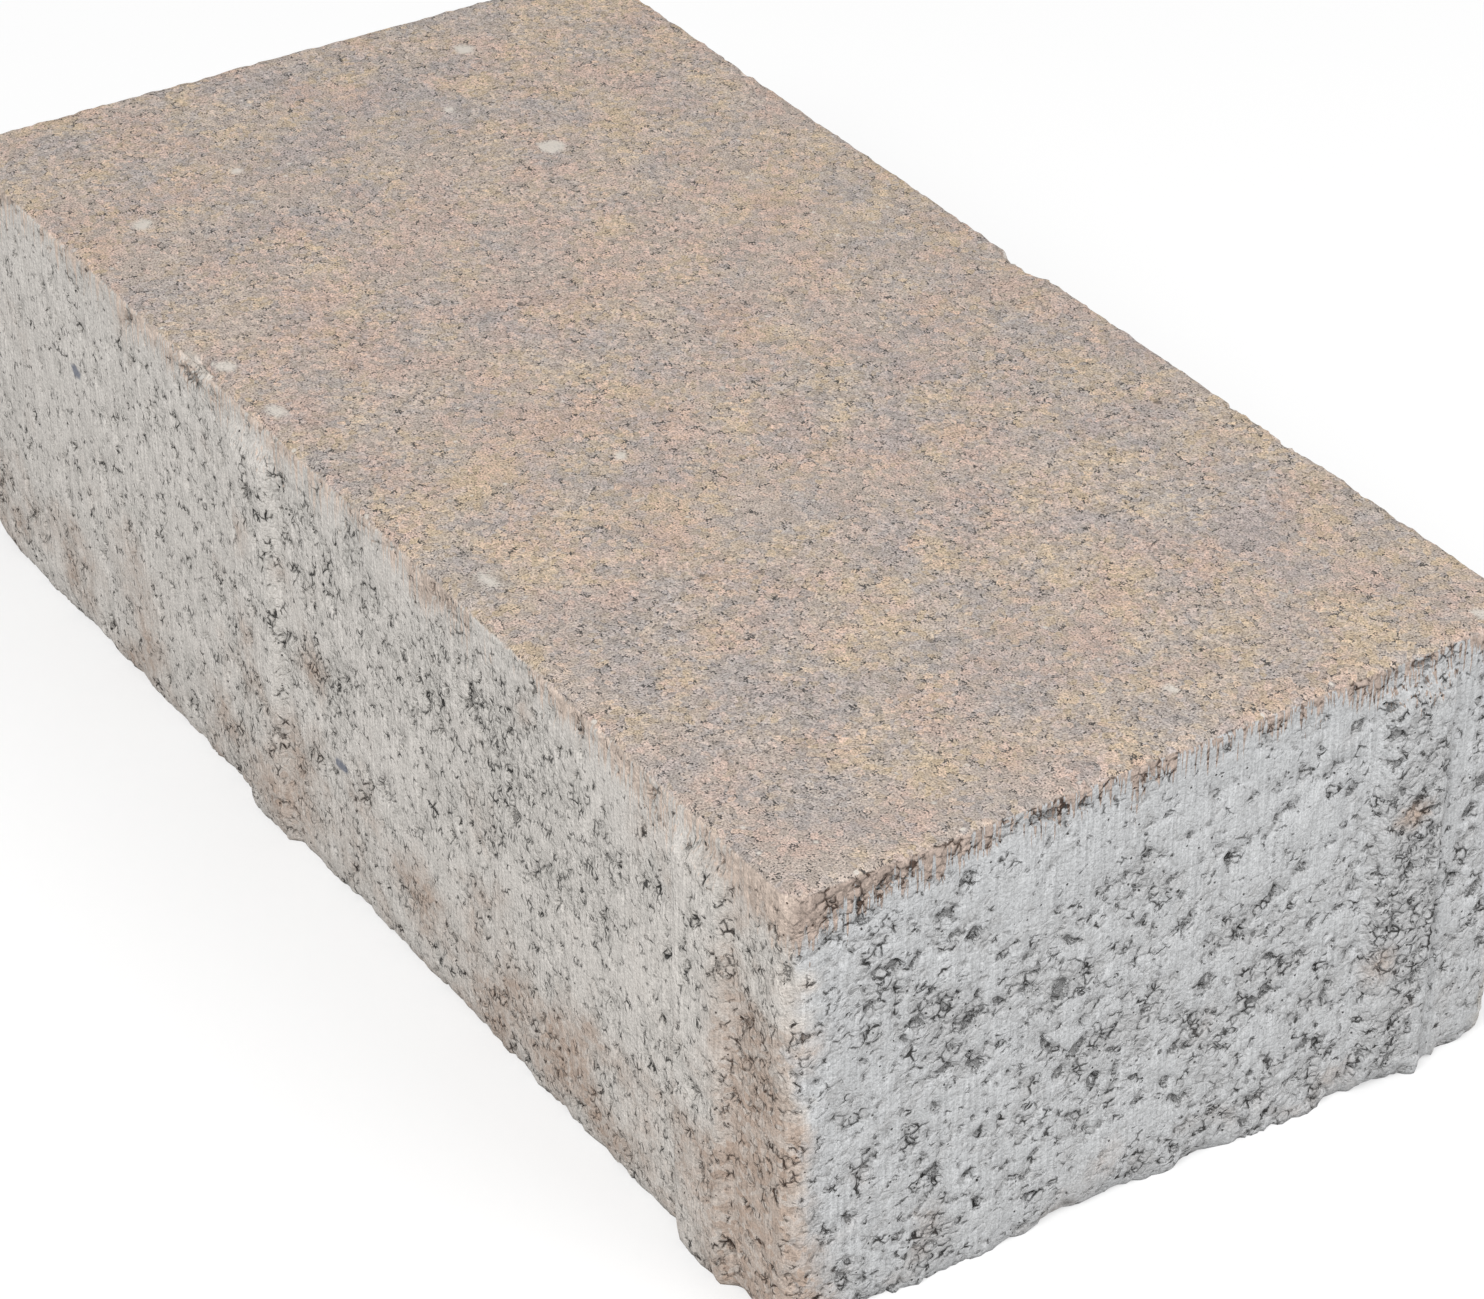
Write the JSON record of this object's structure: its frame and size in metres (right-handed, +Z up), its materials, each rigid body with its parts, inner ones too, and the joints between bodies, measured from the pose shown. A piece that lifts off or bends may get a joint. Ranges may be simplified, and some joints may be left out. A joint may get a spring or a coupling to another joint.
{
  "type": "concrete paving stone",
  "caption": "Solid rectangular concrete paving stone with a sandy tan walking face, grey porous sides and low upright spacer ribs.",
  "frame": {"origin": "centre of the bed face, on the ground under the middle of the stone", "axes": "+X along the length towards one end, +Y across the width, +Z up out of the walking face"},
  "size_m": [0.203, 0.103, 0.06],
  "materials": {
    "concrete": "matt and porous, with a sandy tan walking face and grey cement on the sides"
  },
  "bodies": {
    "root": {"paving_stone": "concrete"}
  },
  "joints": []
}
